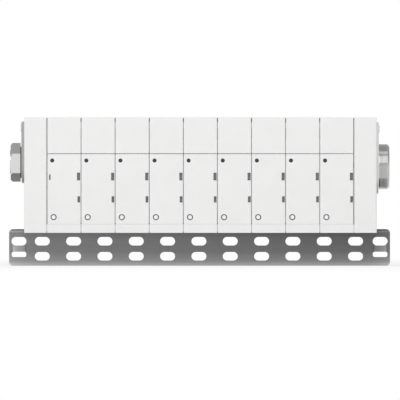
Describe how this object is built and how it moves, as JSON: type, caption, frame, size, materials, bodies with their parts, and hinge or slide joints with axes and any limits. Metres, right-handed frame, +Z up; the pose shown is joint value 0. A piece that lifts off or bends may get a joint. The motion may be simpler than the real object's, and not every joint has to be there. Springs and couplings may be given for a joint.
{
  "type": "pneumatic valve island",
  "caption": "Row of light grey pneumatic valve stations between end blocks, standing on a slotted steel channel, with an air fitting and a round connector at its ends.",
  "frame": {"origin": "middle of the slotted channel at its underside, midway between the front of the covers and the back of the slices", "axes": "+X along the channel to the connector end, +Y from front to back, +Z up"},
  "size_m": [0.304, 0.066, 0.1185],
  "materials": {
    "light_grey_plastic": "fine moulded texture",
    "white_plastic": "smooth moulded",
    "end_block_coating": "powder-coated die casting",
    "stainless_sheet": "brushed along its length",
    "zinc_plated_steel": "zinc plated",
    "cast_aluminium": "die cast",
    "ground_steel": "ground flat",
    "black_plastic": "moulded",
    "smoked_plastic": "polished",
    "dark_grey_plastic": "moulded",
    "circuit_board": "solder mask",
    "black_rubber": "moulded",
    "anodised_aluminium": "matt anodised",
    "nickel_plated_brass": "satin nickel",
    "slide_ceramic": "lapped"
  },
  "bodies": {
    "island": {"mounting_rail": "stainless_sheet", "rail_screws": "zinc_plated_steel", "end_block_left": "end_block_coating", "end_block_right": "end_block_coating", "terminal_caps": "light_grey_plastic", "valve_bodies": "cast_aluminium", "seat_plates": "ground_steel", "pilot_solenoids": "black_plastic", "indicator_lenses": "smoked_plastic", "cover_latches": "dark_grey_plastic", "station_boards": "circuit_board", "bus_board": "circuit_board", "seals": "black_rubber", "tie_rods": "zinc_plated_steel", "tie_rod_nuts": "zinc_plated_steel", "port_plate_left": "anodised_aluminium", "port_plate_right": "anodised_aluminium", "supply_fitting": "nickel_plated_brass", "connector_shell": "nickel_plated_brass", "connector_insert": "black_plastic", "manifold_slice_1": "light_grey_plastic", "front_cover_1": "light_grey_plastic", "manifold_slice_2": "light_grey_plastic", "front_cover_2": "light_grey_plastic", "manifold_slice_3": "light_grey_plastic", "front_cover_3": "light_grey_plastic", "manifold_slice_4": "light_grey_plastic", "front_cover_4": "light_grey_plastic", "manifold_slice_5": "light_grey_plastic", "front_cover_5": "light_grey_plastic", "manifold_slice_6": "light_grey_plastic", "front_cover_6": "light_grey_plastic", "manifold_slice_7": "light_grey_plastic", "front_cover_7": "light_grey_plastic", "manifold_slice_8": "light_grey_plastic", "front_cover_8": "light_grey_plastic", "manifold_slice_9": "light_grey_plastic", "front_cover_9": "light_grey_plastic"},
    "button_1": {"override_button_1": "white_plastic"},
    "button_2": {"override_button_2": "white_plastic"},
    "button_3": {"override_button_3": "white_plastic"},
    "button_4": {"override_button_4": "white_plastic"},
    "button_5": {"override_button_5": "white_plastic"},
    "button_6": {"override_button_6": "white_plastic"},
    "button_7": {"override_button_7": "white_plastic"},
    "button_8": {"override_button_8": "white_plastic"},
    "button_9": {"override_button_9": "white_plastic"},
    "slide_1": {"valve_slide_1": "slide_ceramic"},
    "slide_2": {"valve_slide_2": "slide_ceramic"},
    "slide_3": {"valve_slide_3": "slide_ceramic"},
    "slide_4": {"valve_slide_4": "slide_ceramic"},
    "slide_5": {"valve_slide_5": "slide_ceramic"},
    "slide_6": {"valve_slide_6": "slide_ceramic"},
    "slide_7": {"valve_slide_7": "slide_ceramic"},
    "slide_8": {"valve_slide_8": "slide_ceramic"},
    "slide_9": {"valve_slide_9": "slide_ceramic"}
  },
  "joints": [
    {"name": "override_1", "type": "slide", "parent": "island", "child": "button_1", "axis": [0, 1, 0], "range_m": [0, 0.0015], "stiffness_N_per_m": 600},
    {"name": "override_2", "type": "slide", "parent": "island", "child": "button_2", "axis": [0, 1, 0], "range_m": [0, 0.0015], "stiffness_N_per_m": 600},
    {"name": "override_3", "type": "slide", "parent": "island", "child": "button_3", "axis": [0, 1, 0], "range_m": [0, 0.0015], "stiffness_N_per_m": 600},
    {"name": "override_4", "type": "slide", "parent": "island", "child": "button_4", "axis": [0, 1, 0], "range_m": [0, 0.0015], "stiffness_N_per_m": 600},
    {"name": "override_5", "type": "slide", "parent": "island", "child": "button_5", "axis": [0, 1, 0], "range_m": [0, 0.0015], "stiffness_N_per_m": 600},
    {"name": "override_6", "type": "slide", "parent": "island", "child": "button_6", "axis": [0, 1, 0], "range_m": [0, 0.0015], "stiffness_N_per_m": 600},
    {"name": "override_7", "type": "slide", "parent": "island", "child": "button_7", "axis": [0, 1, 0], "range_m": [0, 0.0015], "stiffness_N_per_m": 600},
    {"name": "override_8", "type": "slide", "parent": "island", "child": "button_8", "axis": [0, 1, 0], "range_m": [0, 0.0015], "stiffness_N_per_m": 600},
    {"name": "override_9", "type": "slide", "parent": "island", "child": "button_9", "axis": [0, 1, 0], "range_m": [0, 0.0015], "stiffness_N_per_m": 600},
    {"name": "valve_1", "type": "slide", "parent": "island", "child": "slide_1", "axis": [0, 0, 1], "range_m": [0, 0.006]},
    {"name": "valve_2", "type": "slide", "parent": "island", "child": "slide_2", "axis": [0, 0, 1], "range_m": [0, 0.006]},
    {"name": "valve_3", "type": "slide", "parent": "island", "child": "slide_3", "axis": [0, 0, 1], "range_m": [0, 0.006]},
    {"name": "valve_4", "type": "slide", "parent": "island", "child": "slide_4", "axis": [0, 0, 1], "range_m": [0, 0.006]},
    {"name": "valve_5", "type": "slide", "parent": "island", "child": "slide_5", "axis": [0, 0, 1], "range_m": [0, 0.006]},
    {"name": "valve_6", "type": "slide", "parent": "island", "child": "slide_6", "axis": [0, 0, 1], "range_m": [0, 0.006]},
    {"name": "valve_7", "type": "slide", "parent": "island", "child": "slide_7", "axis": [0, 0, 1], "range_m": [0, 0.006]},
    {"name": "valve_8", "type": "slide", "parent": "island", "child": "slide_8", "axis": [0, 0, 1], "range_m": [0, 0.006]},
    {"name": "valve_9", "type": "slide", "parent": "island", "child": "slide_9", "axis": [0, 0, 1], "range_m": [0, 0.006]}
  ]
}
